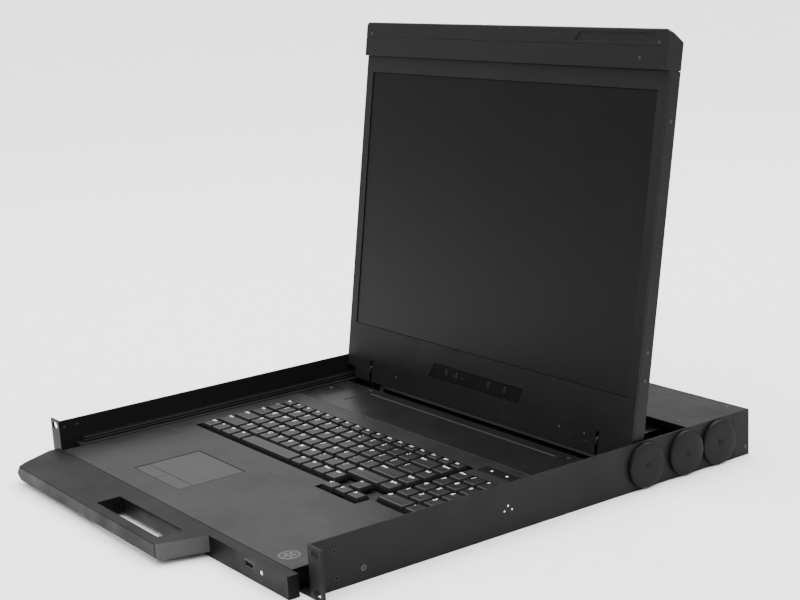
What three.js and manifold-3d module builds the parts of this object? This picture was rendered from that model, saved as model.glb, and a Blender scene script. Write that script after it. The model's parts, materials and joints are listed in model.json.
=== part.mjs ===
// Rack console drawer: a 1U 19-inch chassis with a sliding keyboard deck, a fold-up screen and a
// rear switch module. Millimetres, +Z up, +Y towards the rear, X = 0 on the centre plane.
// Pieces are drawn with Y = 0 on the front face of the rack ears and moved at the end, so that
// the origin is the bottom centre of the whole object.
import * as THREE from "three";
import { mergeVertices } from "three/addons/utils/BufferGeometryUtils.js";
import Module from "manifold-3d";

const wasm = await Module();
wasm.setup();

// ---------------------------------------------------------------- driving dimensions
const gap = 0.3; // clearance between pieces that touch
const sheet = 1.2; // chassis, drawer and lid sheet metal

const earWidth = 17.3; // makes the 482.6 mm span of a 19-inch panel
const earThickness = 2;
const earSlotFromWall = 8.55; // makes the 465.1 mm hole spacing of a rack
const earSlotRise = 31.75;
const earSlotLength = 10;
const earSlotHeight = 7;
const chassisWidth = 448;
const chassisDepth = 483.5;
const chassisHeight = 43.6;
const rearBoxDepth = 79.5;
const rearWrap = 20.5;
const coverLip = 5;
const railBay = 16.8; // room for the slide rails at each side of the drawer

const discRadius = 20.6;
const discProud = 4;
const discChamfer = 1;
const discFromRear = [132.5, 83.5, 42];
const discSegments = 32;

const deckTop = 19.6;
const deckSheet = 1.5;
const deckFront = -5;
const hingeCoverDepth = 62.5;
const panelHalf = 150; // the shallow panel pressed into the hinge cover
const panelTaper = 4;
const panelFrontMargin = 18.5;
const panelRearMargin = 12;
const panelRecess = 0.6;
const drawerFloor = 3.6;
const panInset = 0.2;
const panBelowDeck = 0.9;
const drawerToBox = 8;
const troughFront = 15.7; // from the hinge axis forward to the deck's rear edge

const railAboveDeck = 4.6;
const railWall = 1.3;
const railFront = 20;
const railFlange = 8.5;
const railOuterSetback = 2;
const railIntoBox = 36;

const frontBarInset = 6.8; // from the chassis walls' inner faces
const frontBarFace = -15.5;
const frontBarBottom = 0.6;
const handleReach = 57.8;
const handleLeft = -192;
const handleRight = 83;
const handleRootRight = 96;
const handleBottom = 5;
const handleBelowDeck = 0.3;
const gripLeft = -45;
const gripRight = 69;
const gripWidth = 22;
const gripBar = 10.5;

const usbX = 158.5;
const usbZ = 12.6;
const usbWidth = 14;
const usbHeight = 6.6;
const usbDepth = 9;
const ledX = 178;
const ledZ = 11.3;
const ledRadius = 1.8;

const padLeft = -106.5;
const padWidth = 84;
const padFront = 21;
const padDepth = 68;
const padButtonDepth = 14.5;
const padSplit = 39.5;
const padButtonTravel = 0.8;

const keyPitch = 19.05;
const keyboardLeft = -182;
const keyRowsFront = 131.5;
const functionDepth = 13.5;
const functionKeys = 17;
const arrowRowDepth = 15.5;
const keyAboveDeck = 2.7;
const keyHeight = 4.7;
const keyTravel = 2;
const keyWeb = 0.8;
const keyGap = 0.9;
const keyBaseBottom = 6;
const numpadGap = 6;
const recessMargin = 3;

const windowX = 158;
const windowY = 248.5;
const windowWidth = 68;
const windowDepth = 13;

const lidSideClearance = 2.8;
const lidThickness = 14.4;
const lidHeight = 376.2;
const lidTilt = THREE.MathUtils.degToRad(9);
const hingeToBox = 60.3; // hinge axis in front of the rear box
const hingeAboveDeck = 14.5;
const hingeUp = 13.1; // hinge axis above the lid's bottom edge
const hingeFromEdge = 44; // hinge blades inward from the lid's sides
const hingeBlade = 2;
const hingePinRadius = 2.8;
const hingeBarrelWall = 0.6;
const hingeBossWall = 3.7;
const hingeSlotTop = 22.5;
const hingeRearNotch = 7.5;
const lidNotchInset = 2; // outside the deck the lid's lower edge is raised, to clear the rails
const lidNotchTop = 12;
const bezelSheet = 1.6;
const screenBorder = 11;
const screenBottom = 59.5;
const screenTop = 325.3;
const bandBottom = 342;
const bandProud = 4;
const bandBackTop = 366;
const bandWall = 1.6;
const osdBottom = 25.5;
const osdTop = 40;
const osdHalfBottom = [-75, 65];
const osdHalfTop = [-67, 70];
const osdButtonX = [-47, -31, 19, 44];
const osdButtonRadius = 3;
const osdButtonTravel = 0.8;

const shelfLeft = -120; // the shelf inside the rear box
const shelfRight = 163;
const shelfTop = 24;
const shelfDepth = 46;
const shelfFoot = 12;
const shelfFromBoxFront = 3;
const bayClearance = 2; // from the rails to the parts in the rear box
const boardLeft = -130;
const boardFromBoxFront = 18;
const boardFromPanel = 14;
const boardZ = 8;
const boardSheet = 1.6;
const supplyRight = -138;
const supplyFromBoxFront = 6;
const supplyFromPanel = 30;
const supplyBottom = 3;
const supplyBelowCover = 5.6;

const hostPorts = 8;
const hostPitch = 34;
const hostFirstX = -42;
const portWidth = 30;
const portHeight = 12;
const portZ = 15;
const consoleX = -108;
const consoleWidth = 62;
const inletX = -196;
const inletWidth = 27.4;
const inletHeight = 19.8;
const inletDepth = 20;
const inletZ = 21.8;
const rockerX = -164;
const rockerWidth = 13.2;
const rockerHeight = 19;
const rockerTilt = THREE.MathUtils.degToRad(7);

// ---------------------------------------------------------------- derived places
const wallOuter = chassisWidth / 2;
const wallInner = wallOuter - sheet;
const earOuter = wallOuter + earWidth;
const boxFront = chassisDepth - rearBoxDepth;
const wrapFront = chassisDepth - rearWrap;
const panelFront = chassisDepth - sheet;
const hingeY = boxFront - hingeToBox;
const deckRear = hingeY - troughFront;
const hingeCoverFront = deckRear - hingeCoverDepth;
const drawerRear = boxFront - drawerToBox;
const deckHalf = wallInner - railBay;
const railTop = deckTop + railAboveDeck;
const handleFront = -handleReach;
const handleTop = deckTop - handleBelowDeck;
const frontBarHalf = wallInner - frontBarInset;
const keyTop = deckTop + keyAboveDeck;
const keyWebBottom = keyTop - keyHeight;
const hingeZ = deckTop + hingeAboveDeck;
const hingeBarrelRadius = hingePinRadius + hingeBarrelWall;
const hingeBossRadius = hingePinRadius + hingeBossWall;
const hingeIn = bezelSheet + gap + hingeBarrelRadius + 0.2; // axis behind the lid's front face
const lidHalf = wallInner - lidSideClearance;
const hingeBladeX = lidHalf - hingeFromEdge;
const lidNotchX = deckHalf - lidNotchInset;
const screenHalf = lidHalf - screenBorder;
const keyboardRight = keyboardLeft + 20 * keyPitch;
const mainRight = keyboardRight - 4 * keyPitch - numpadGap;
const functionPitch = (mainRight - keyboardLeft) / functionKeys;
const rowFront = (row) => keyRowsFront + row * keyPitch;
const functionFront = rowFront(5);
const functionRear = functionFront + functionDepth;
const objectMiddleY = (chassisDepth - handleReach) / 2;

// ---------------------------------------------------------------- geometry helpers
function toSolid(geometry) {
  const bare = geometry.clone();
  bare.deleteAttribute("normal");
  bare.deleteAttribute("uv");
  const merged = mergeVertices(bare, 1e-4);
  const vertProperties = merged.attributes.position.array;
  const triVerts = new Uint32Array(merged.index.array);
  return new wasm.Manifold(new wasm.Mesh({ numProp: 3, vertProperties, triVerts }));
}

function toGeometry(solid) {
  const mesh = solid.getMesh();
  const indexed = new THREE.BufferGeometry();
  indexed.setAttribute("position", new THREE.BufferAttribute(mesh.vertProperties, 3));
  indexed.setIndex(new THREE.BufferAttribute(mesh.triVerts, 1));
  const flat = indexed.toNonIndexed();
  flat.computeVertexNormals();
  return flat;
}

function join(...pieces) {
  return toGeometry(pieces.map(toSolid).reduce((whole, piece) => whole.add(piece)));
}

function cut(base, ...tools) {
  return toGeometry(tools.map(toSolid).reduce((rest, tool) => rest.subtract(tool), toSolid(base)));
}

function block(x0, x1, y0, y1, z0, z1) {
  const box = new THREE.BoxGeometry(x1 - x0, y1 - y0, z1 - z0);
  return box.translate((x0 + x1) / 2, (y0 + y1) / 2, (z0 + z1) / 2);
}

function extrude(points, depth) {
  const shape = new THREE.Shape(points.map(([a, b]) => new THREE.Vector2(a, b)));
  return new THREE.ExtrudeGeometry(shape, { depth, bevelEnabled: false });
}

const axisX = new THREE.Vector3(1, 0, 0);
const axisY = new THREE.Vector3(0, 1, 0);
const axisZ = new THREE.Vector3(0, 0, 1);

// A plan outline of [x, y] points between two heights.
function plate(points, z0, z1) {
  return extrude(points, z1 - z0).translate(0, 0, z0);
}

// A side outline of [y, z] points between two widths.
function alongX(points, x0, x1) {
  const basis = new THREE.Matrix4().makeBasis(axisY, axisZ, axisX);
  return extrude(points, x1 - x0).applyMatrix4(basis).translate(x0, 0, 0);
}

// A front outline of [x, z] points between two depths.
function alongY(points, y0, y1) {
  const basis = new THREE.Matrix4().makeBasis(axisX, axisZ, axisY.clone().negate());
  return extrude(points, y1 - y0).applyMatrix4(basis).translate(0, y1, 0);
}

function rodX(x0, x1, y, z, radius, segments = 20) {
  const rod = new THREE.CylinderGeometry(radius, radius, x1 - x0, segments);
  return rod.rotateZ(Math.PI / 2).translate((x0 + x1) / 2, y, z);
}

function rodY(x, y0, y1, z, radius, segments = 16) {
  const rod = new THREE.CylinderGeometry(radius, radius, y1 - y0, segments);
  return rod.translate(x, (y0 + y1) / 2, z);
}

// Boxes are drawn for the right side and mirrored for the left.
function sideBlock(side, x0, x1, ...rest) {
  return side > 0 ? block(x0, x1, ...rest) : block(-x1, -x0, ...rest);
}

function finish(color, roughness, metalness) {
  return () => new THREE.MeshStandardMaterial({ color, roughness, metalness });
}

const blackPaint = finish(0x2c2c2e, 0.55, 0.2);
const deckPaint = finish(0x3f3f40, 0.5, 0.2);
const steel = finish(0x6b6c6e, 0.35, 0.9);
const blackSteel = finish(0x1c1c1e, 0.4, 0.7);
const blackPlastic = finish(0x18181a, 0.6, 0);
const keyPlastic = finish(0x202022, 0.55, 0);
const padPlastic = finish(0x565658, 0.5, 0);
const glass = finish(0x101012, 0.25, 0);
const boardGreen = finish(0x1d4d2c, 0.6, 0);
const lensGreen = finish(0xcfe8c8, 0.3, 0);

const sides = [
  ["left", -1],
  ["right", 1],
];

function add(group, name, geometry, material) {
  const mesh = new THREE.Mesh(geometry, material());
  mesh.name = name;
  group.add(mesh);
}

// ---------------------------------------------------------------- chassis
function chassisPan() {
  const floor = block(-wallOuter, wallOuter, 0, wrapFront - gap, 0, sheet);
  const floorRear = block(-wallInner + gap, wallInner - gap, wrapFront - 2, panelFront - gap, 0, sheet);
  const pieces = [floor, floorRear];
  const slots = [];
  for (const [, side] of sides) {
    pieces.push(sideBlock(side, wallInner, wallOuter, 0, wrapFront - gap, 0, chassisHeight));
    pieces.push(sideBlock(side, wallInner, earOuter, 0, earThickness, 0, chassisHeight));
    for (const level of [-1, 1]) {
      const z = chassisHeight / 2 + (level * earSlotRise) / 2;
      slots.push(earSlot(side * (wallOuter + earSlotFromWall), z));
    }
  }
  return cut(join(...pieces), ...slots);
}

function earSlot(x, z) {
  const r = earSlotHeight / 2;
  const half = earSlotLength / 2 - r;
  const y0 = -1;
  const y1 = earThickness + 1;
  const middle = block(x - half, x + half, y0, y1, z - r, z + r);
  return join(middle, rodY(x - half, y0, y1, z, r), rodY(x + half, y0, y1, z, r));
}

function rearPanel() {
  const cuts = [];
  for (let i = 0; i < hostPorts; i += 1) {
    cuts.push(panelHole(hostFirstX + i * hostPitch, portZ, portWidth, portHeight));
  }
  cuts.push(panelHole(consoleX, portZ, consoleWidth, portHeight));
  cuts.push(panelHole(inletX, inletZ, inletWidth, inletHeight));
  cuts.push(panelHole(rockerX, inletZ, rockerWidth + 0.6, rockerHeight + 2));
  const back = block(-wallOuter, wallOuter, panelFront, chassisDepth, 0, chassisHeight);
  const wings = sides.map(([, side]) =>
    sideBlock(side, wallInner, wallOuter, wrapFront, chassisDepth, 0, chassisHeight),
  );
  return cut(join(back, ...wings), ...cuts);
}

function panelHole(x, z, width, height) {
  const w = width / 2 + gap;
  const h = height / 2 + gap;
  return block(x - w, x + w, panelFront - 1, chassisDepth + 1, z - h, z + h);
}

function rearCover() {
  const half = wallInner - gap;
  const under = chassisHeight - sheet;
  const top = block(-half, half, boxFront, panelFront - gap, under, chassisHeight);
  const lip = block(-half, half, boxFront, boxFront + sheet, under - coverLip, chassisHeight);
  const flanges = sides.map(([, side]) =>
    sideBlock(side, half - sheet, half, boxFront, wrapFront, railTop + 4, chassisHeight),
  );
  return join(top, lip, ...flanges);
}

function rearBulkhead() {
  const front = boxFront + shelfFromBoxFront;
  const low = sheet + gap;
  const floor = block(shelfLeft, shelfRight, front, front + shelfFoot, low, low + sheet);
  const web = block(shelfLeft, shelfRight, front, front + sheet, low, shelfTop);
  const shelf = block(shelfLeft, shelfRight, front, front + shelfDepth, shelfTop - sheet, shelfTop);
  return join(floor, web, shelf);
}

function sideDisc(side, y) {
  const profile = [
    [0, 0],
    [discRadius, 0],
    [discRadius, discProud - discChamfer],
    [discRadius - discChamfer, discProud],
    [0, discProud],
  ];
  const points = profile.map(([r, h]) => new THREE.Vector2(r, h));
  const disc = new THREE.LatheGeometry(points, discSegments);
  disc.rotateZ((-side * Math.PI) / 2);
  return disc.translate(side * (wallOuter + gap), y, chassisHeight / 2);
}

function hostPortBank() {
  const rear = chassisDepth - 0.2;
  const first = hostFirstX - portWidth / 2;
  const last = hostFirstX + (hostPorts - 1) * hostPitch + portWidth / 2;
  const pieces = [block(first, last, panelFront - 12, panelFront - 4, portZ - 5, portZ + 5)];
  for (let i = 0; i < hostPorts; i += 1) {
    const x = hostFirstX + i * hostPitch;
    const w = portWidth / 2;
    const h = portHeight / 2;
    pieces.push(block(x - w, x + w, panelFront - 5, rear, portZ - h, portZ + h));
  }
  return join(...pieces);
}

function powerInlet() {
  const w = inletWidth / 2;
  const h = inletHeight / 2;
  const front = chassisDepth - inletDepth;
  const body = block(inletX - w, inletX + w, front, chassisDepth - 0.1, inletZ - h, inletZ + h);
  const wall = 1.7;
  const mouth = block(
    inletX - w + wall,
    inletX + w - wall,
    front + 4,
    chassisDepth + 1,
    inletZ - h + wall,
    inletZ + h - wall,
  );
  return cut(body, mouth);
}

function addChassis(group) {
  add(group, "chassis_pan", chassisPan(), blackPaint);
  add(group, "rear_panel", rearPanel(), blackPaint);
  add(group, "rear_cover", rearCover(), deckPaint);
  add(group, "rear_bulkhead", rearBulkhead(), steel);
  for (const [name, side] of sides) {
    discFromRear.forEach((distance, i) => {
      add(group, `side_disc_${name}_${i + 1}`, sideDisc(side, chassisDepth - distance), blackPaint);
    });
    add(group, `outer_rail_${name}`, railOuter(side), blackSteel);
  }
  const bayEdge = railOuterX - railFlange - bayClearance;
  const boardFront = boxFront + boardFromBoxFront;
  const boardRear = panelFront - boardFromPanel;
  const board = block(boardLeft, bayEdge, boardFront, boardRear, boardZ, boardZ + boardSheet);
  add(group, "switch_board", board, boardGreen);
  const supplyFront = boxFront + supplyFromBoxFront;
  const supplyRear = panelFront - supplyFromPanel;
  const supplyTop = chassisHeight - supplyBelowCover;
  const supply = block(-bayEdge, supplyRight, supplyFront, supplyRear, supplyBottom, supplyTop);
  add(group, "power_supply", supply, steel);
  add(group, "host_port_bank", hostPortBank(), blackPlastic);
  add(group, "console_port_block", consoleBlock(), blackPlastic);
  add(group, "power_inlet", powerInlet(), blackPlastic);
  addRocker(group);
}

function consoleBlock() {
  const w = consoleWidth / 2;
  const h = portHeight / 2;
  return block(consoleX - w, consoleX + w, panelFront - 12, chassisDepth - 0.2, portZ - h, portZ + h);
}

function addRocker(group) {
  const pivot = new THREE.Group();
  pivot.position.set(rockerX, chassisDepth - 6, inletZ);
  pivot.rotation.x = -rockerTilt;
  const w = rockerWidth / 2;
  const h = rockerHeight / 2;
  add(pivot, "power_rocker", block(-w, w, -3, 4, -h, h), blackPlastic);
  group.add(pivot);
}

// ---------------------------------------------------------------- slide rails
const railOuterX = wallInner - gap;
const railOuterWeb = railOuterX - railWall;
const railMidX = railOuterWeb - 0.5;
const railMidWeb = railMidX - railWall;
const railInnerX = deckHalf + gap;

// A channel whose web stands at one side and whose flanges point to the other.
function channel(side, webX, flangeX, z0, z1, y0, y1) {
  const low = Math.min(webX, flangeX);
  const high = Math.max(webX, flangeX);
  const web = webX > flangeX ? [webX - railWall, webX] : [webX, webX + railWall];
  return join(
    sideBlock(side, web[0], web[1], y0, y1, z0, z1),
    sideBlock(side, low, high, y0, y1, z0, z0 + railWall),
    sideBlock(side, low, high, y0, y1, z1 - railWall, z1),
  );
}

function railOuter(side) {
  const front = railFront + railOuterSetback;
  const rear = boxFront + railIntoBox;
  return channel(side, railOuterX, railOuterX - railFlange, drawerFloor, railTop, front, rear);
}

function railMid(side) {
  const z0 = drawerFloor + railWall + 0.5;
  const z1 = railTop - railWall - 0.5;
  return channel(side, railMidX, railMidX - railFlange, z0, z1, railFront, boxFront - 4);
}

function railInner(side) {
  const z0 = drawerFloor + 2 * railWall + 1;
  const z1 = railTop - 2 * railWall - 1;
  return channel(side, railInnerX, railMidWeb - 0.6, z0, z1, railFront - 6, drawerRear - 6);
}

function addMidRails(group) {
  for (const [name, side] of sides) {
    add(group, `mid_rail_${name}`, railMid(side), blackSteel);
  }
}

// ---------------------------------------------------------------- drawer
function drawerPan() {
  const half = deckHalf - panInset;
  const wallTop = deckTop - deckSheet - panBelowDeck;
  const front = deckFront + gap;
  const body = block(-half, half, front, drawerRear, drawerFloor, wallTop);
  const inside = block(
    -half + sheet,
    half - sheet,
    front + sheet,
    drawerRear - sheet,
    drawerFloor + sheet,
    wallTop + 1,
  );
  return cut(body, inside);
}

// The hole in the deck that the keys stand in, grown by a margin.
function keyboardOutline(margin) {
  const arrowLeft = mainRight - 3 * keyPitch;
  const front = keyRowsFront - margin;
  const left = keyboardLeft - margin;
  const right = keyboardRight + margin;
  const step = mainRight + margin;
  return [
    [left, front],
    [arrowLeft - margin, front],
    [arrowLeft - margin, front - arrowRowDepth],
    [step, front - arrowRowDepth],
    [step, front],
    [right, front],
    [right, functionFront + margin],
    [step, functionFront + margin],
    [step, functionRear + margin],
    [left, functionRear + margin],
  ];
}

function deckPlate() {
  const z0 = deckTop - deckSheet;
  const base = block(-deckHalf, deckHalf, deckFront, hingeCoverFront - gap, z0, deckTop);
  const keys = plate(keyboardOutline(recessMargin), z0 - 1, deckTop + 1);
  const pad = block(
    padLeft - 0.4,
    padLeft + padWidth + 0.4,
    padFront - 0.4,
    padFront + padDepth + 0.4,
    z0 - 1,
    deckTop + 1,
  );
  return cut(base, keys, pad, windowHole(gap));
}

function windowHole(margin) {
  const w = windowWidth / 2 + margin;
  const d = windowDepth / 2 + margin;
  return block(windowX - w, windowX + w, windowY - d, windowY + d, deckTop - 4, deckTop + 1);
}

function hingeCover() {
  const z0 = deckTop - deckSheet;
  const base = block(-deckHalf, deckHalf, hingeCoverFront, deckRear, z0, deckTop);
  const recess = plate(
    [
      [-panelHalf, hingeCoverFront + panelFrontMargin],
      [panelHalf, hingeCoverFront + panelFrontMargin],
      [panelHalf - panelTaper, deckRear - panelRearMargin],
      [panelTaper - panelHalf, deckRear - panelRearMargin],
    ],
    deckTop - panelRecess,
    deckTop + 1,
  );
  return cut(base, recess);
}

function frontHandle() {
  const rear = deckFront - gap;
  const bar = block(-frontBarHalf, frontBarHalf, frontBarFace, rear, frontBarBottom, handleTop);
  const loop = plate(
    [
      [-frontBarHalf, rear],
      [-frontBarHalf, frontBarFace],
      [handleLeft - 6, handleFront + 8],
      [handleLeft, handleFront],
      [handleRight, handleFront],
      [handleRootRight, frontBarFace],
      [handleRootRight, rear],
    ],
    handleBottom,
    handleTop,
  );
  const gripFront = handleFront + gripBar;
  const grip = plate(
    [
      [gripLeft, gripFront],
      [gripRight - 1, gripFront],
      [gripRight, gripFront + gripWidth],
      [gripLeft, gripFront + gripWidth],
    ],
    handleBottom - 1,
    handleTop + 1,
  );
  const usb = block(
    usbX - usbWidth / 2 - gap,
    usbX + usbWidth / 2 + gap,
    frontBarFace - 1,
    rear + 1,
    usbZ - usbHeight / 2 - gap,
    usbZ + usbHeight / 2 + gap,
  );
  const led = rodY(ledX, frontBarFace - 1, rear + 1, ledZ, ledRadius + gap);
  return cut(join(bar, loop), grip, usb, led);
}

function usbSocket() {
  const w = usbWidth / 2;
  const h = usbHeight / 2;
  const wall = 0.8;
  const front = frontBarFace + 0.3;
  const body = block(usbX - w, usbX + w, front, front + usbDepth, usbZ - h, usbZ + h);
  const mouth = block(
    usbX - w + wall,
    usbX + w - wall,
    front - 1,
    front + usbDepth - 1.5,
    usbZ - h + wall,
    usbZ + h - wall,
  );
  return cut(body, mouth);
}

const padShelf = deckTop - 5.6;

function touchpad() {
  const right = padLeft + padWidth;
  const rear = padFront + padDepth;
  const surfaceFront = padFront + padButtonDepth + gap;
  const low = deckTop - 8.1;
  return join(
    block(padLeft, right, padFront, rear, low, padShelf),
    block(padLeft, right, surfaceFront, rear, low, deckTop - 0.2),
  );
}

function padButton(x0, x1) {
  const low = padShelf + gap + padButtonTravel;
  return block(x0, x1, padFront, padFront + padButtonDepth, low, deckTop - 0.3);
}

function hingeBracket(side) {
  const x0 = hingeBladeX - hingeBlade / 2;
  const x1 = hingeBladeX + hingeBlade / 2;
  const floor = drawerFloor + sheet + gap;
  const [left, right] = side > 0 ? [x0, x1] : [-x1, -x0];
  const boss = rodX(left, right, hingeY, hingeZ, hingeBossRadius, 24);
  const stem = block(left, right, hingeY - 4, hingeY + 4, floor, hingeZ);
  const foot = sideBlock(side, x0 - 16, x1, hingeY - 4, hingeY + 16, floor, floor + hingeBlade);
  const eye = rodX(left - 1, right + 1, hingeY, hingeZ, hingePinRadius + 0.4, 24);
  return cut(join(boss, stem, foot), eye);
}

function addDrawer(group) {
  add(group, "drawer_pan", drawerPan(), blackPaint);
  add(group, "deck_plate", deckPlate(), deckPaint);
  add(group, "hinge_cover", hingeCover(), deckPaint);
  add(group, "front_handle", frontHandle(), deckPaint);
  add(group, "usb_socket", usbSocket(), steel);
  const lens = rodY(ledX, frontBarFace - 0.4, frontBarFace + 7, ledZ, ledRadius);
  add(group, "status_led", lens, lensGreen);
  for (const [name, side] of sides) {
    add(group, `inner_rail_${name}`, railInner(side), blackSteel);
    add(group, `hinge_bracket_${name}`, hingeBracket(side), blackSteel);
  }
  add(group, "touchpad", touchpad(), padPlastic);
  const split = padLeft + padSplit;
  add(group, "pad_button_left", padButton(padLeft, split - gap), padPlastic);
  add(group, "pad_button_right", padButton(split + gap, padLeft + padWidth), padPlastic);
  const bedTop = keyWebBottom - keyTravel - 0.4;
  const bed = plate(keyboardOutline(recessMargin - gap), keyBaseBottom, bedTop);
  add(group, "keyboard_base", bed, blackPlastic);
  const lensTop = deckTop + 0.2;
  const w = windowWidth / 2;
  const d = windowDepth / 2;
  const pane = block(windowX - w, windowX + w, windowY - d, windowY + d, deckTop - 3, lensTop);
  add(group, "indicator_window", pane, glass);
  addKeys(group);
}

// ---------------------------------------------------------------- keys
// A key is [x0, x1, y0, y1], the cell of the layout that it fills.
function keyCap([x0, x1, y0, y1]) {
  const low = keyWebBottom;
  const cap = block(x0 + keyGap, x1 - keyGap, y0 + keyGap, y1 - keyGap, low, keyTop);
  const position = cap.getAttribute("position");
  const middle = new THREE.Vector2((x0 + x1) / 2, (y0 + y1) / 2);
  const draft = 1.7;
  for (let i = 0; i < position.count; i += 1) {
    if (position.getZ(i) > low + 1) {
      position.setX(i, position.getX(i) - Math.sign(position.getX(i) - middle.x) * draft);
      position.setY(i, position.getY(i) - Math.sign(position.getY(i) - middle.y) * draft);
    }
  }
  return cap;
}

function keyRow(x, y0, y1, widths) {
  const cells = [];
  for (const width of widths) {
    cells.push([x, x + width, y0, y1]);
    x += width;
  }
  return cells;
}

function keyRun(x, row, widths) {
  return keyRow(x, rowFront(row), rowFront(row + 1), widths);
}

// The cells of one bank, joined by a thin web that fills the cells given in webs.
function keyBank(cells, webs) {
  const web = webs.map(([x0, x1, y0, y1]) =>
    block(x0 + 0.5, x1 - 0.5, y0 + 0.5, y1 - 0.5, keyWebBottom, keyWebBottom + keyWeb),
  );
  return join(...web, ...cells.map(keyCap));
}

function span(cells) {
  return [
    Math.min(...cells.map((cell) => cell[0])),
    Math.max(...cells.map((cell) => cell[1])),
    Math.min(...cells.map((cell) => cell[2])),
    Math.max(...cells.map((cell) => cell[3])),
  ];
}

function units(count, size = keyPitch) {
  return Array(count).fill(size);
}

function addKeys(group) {
  const navLeft = mainRight - keyPitch;
  const upLeft = navLeft - keyPitch;
  const left = keyboardLeft;
  const rowWidth = navLeft - left;
  const fill = (used) => rowWidth - used;
  const spaceWidth = 4.67 * keyPitch;
  const banks = {
    function: keyRow(left, functionFront, functionRear, units(functionKeys, functionPitch)),
    number: keyRun(left, 4, [...units(13), fill(13 * keyPitch)]),
    top_letter: keyRun(left, 3, [24, ...units(12), fill(24 + 12 * keyPitch)]),
    home_letter: keyRun(left, 2, [30, ...units(11)]),
    bottom_letter: keyRun(left, 1, [39, ...units(10), fill(39 + 10 * keyPitch)]),
    left_modifier: keyRun(left, 0, units(4)),
    right_modifier: keyRun(left + 4 * keyPitch + spaceWidth, 0, units(4)),
    navigation: [1, 2, 3, 4].flatMap((row) => keyRun(navLeft, row, units(1))),
  };
  for (const [name, cells] of Object.entries(banks)) {
    add(group, `${name}_keys`, keyBank(cells, [span(cells)]), keyPlastic);
  }
  const enterLeft = left + 30 + 11 * keyPitch;
  const enter = keyRun(enterLeft, 2, [navLeft - enterLeft]);
  add(group, "enter_key", keyBank(enter, enter), keyPlastic);
  const space = keyRun(left + 4 * keyPitch, 0, [spaceWidth]);
  add(group, "space_bar", keyBank(space, space), keyPlastic);
  const up = keyRun(upLeft, 0, units(1));
  const lower = keyRow(upLeft - keyPitch, rowFront(0) - arrowRowDepth, rowFront(0), units(3));
  const joined = [upLeft, upLeft + keyPitch, lower[0][2], rowFront(1)];
  add(group, "arrow_keys", keyBank([...up, ...lower], [joined, span(lower)]), keyPlastic);
  const pad = numpadCells();
  add(group, "numpad_keys", keyBank(pad, [span(pad)]), keyPlastic);
}

function numpadCells() {
  const column = (i) => keyboardRight - (4 - i) * keyPitch;
  const cells = [[column(0), column(2), rowFront(0), rowFront(1)]];
  cells.push([column(2), column(3), rowFront(0), rowFront(1)]);
  for (const row of [1, 2, 3, 4]) {
    cells.push(...keyRun(column(0), row, units(3)));
  }
  cells.push([column(3), column(4), rowFront(0), rowFront(2)]);
  cells.push([column(3), column(4), rowFront(2), rowFront(4)]);
  cells.push([column(3), column(4), rowFront(4), rowFront(5)]);
  return cells;
}

// ---------------------------------------------------------------- lid
// Lid pieces are drawn standing upright: X across, Y = 0 on the screen bezel's front face and
// growing rearward, Z = 0 on the lid's bottom edge.
const lidFoot = 0.5;

function lidOutline(inset, top) {
  const outer = lidHalf - inset;
  const step = lidNotchX - inset;
  const shoulder = lidNotchTop + inset;
  const foot = lidFoot + inset;
  return [
    [-outer, shoulder],
    [-step, shoulder],
    [-step, foot],
    [step, foot],
    [step, shoulder],
    [outer, shoulder],
    [outer, top],
    [-outer, top],
  ];
}

// Slots that let the lid swing past the hinge blades.
const hingeSlotDepth = lidThickness - sheet - 0.1;

function hingeSlots() {
  return sides.map(([, side]) => {
    const x = hingeBladeX;
    const half = hingeBlade / 2 + 0.8;
    const front = sideBlock(side, x - half, x + half, -1, hingeSlotDepth, -1, hingeSlotTop);
    const rear = sideBlock(side, x - half, x + half, -1, lidThickness + 1, -1, hingeRearNotch);
    return join(front, rear);
  });
}

function lidBackCover() {
  const top = bandBottom - gap;
  const y0 = bezelSheet + gap;
  const shell = alongY(lidOutline(0, top), y0, lidThickness);
  const inside = alongY(lidOutline(sheet, top + 1), y0 - 1, lidThickness - sheet);
  return cut(shell, inside, ...hingeSlots());
}

function lidBezel() {
  const face = alongY(lidOutline(0, bandBottom - gap), 0, bezelSheet);
  const screen = block(-screenHalf, screenHalf, -1, bezelSheet + 1, screenBottom, screenTop);
  const osd = alongY(osdOutline(gap), -1, bezelSheet + 1);
  return cut(face, screen, osd, ...hingeSlots());
}

function osdOutline(margin) {
  return [
    [osdHalfBottom[0] - margin, osdBottom - margin],
    [osdHalfBottom[1] + margin, osdBottom - margin],
    [osdHalfTop[1] + margin, osdTop + margin],
    [osdHalfTop[0] - margin, osdTop + margin],
  ];
}

function lidBand() {
  const outer = [
    [-bandProud, bandBottom],
    [lidThickness, bandBottom],
    [lidThickness, bandBackTop],
    [-bandProud + 1, lidHeight],
    [-bandProud, lidHeight - 1],
  ];
  const inner = [
    [-bandProud + bandWall, bandBottom - 1],
    [lidThickness - bandWall, bandBottom - 1],
    [lidThickness - bandWall, bandBackTop - bandWall],
    [-bandProud + bandWall, lidHeight - 2 * bandWall],
  ];
  const shell = alongX(outer, -lidHalf, lidHalf);
  return cut(shell, alongX(inner, -lidHalf + bandWall, lidHalf - bandWall));
}

function osdPanel() {
  const y0 = 0.4;
  const y1 = 2.2;
  const holes = osdButtonX.map((x) => rodY(x, y0 - 1, y1 + 1, osdMiddle, osdButtonRadius + gap));
  return cut(alongY(osdOutline(0), y0, y1), ...holes);
}

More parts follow.
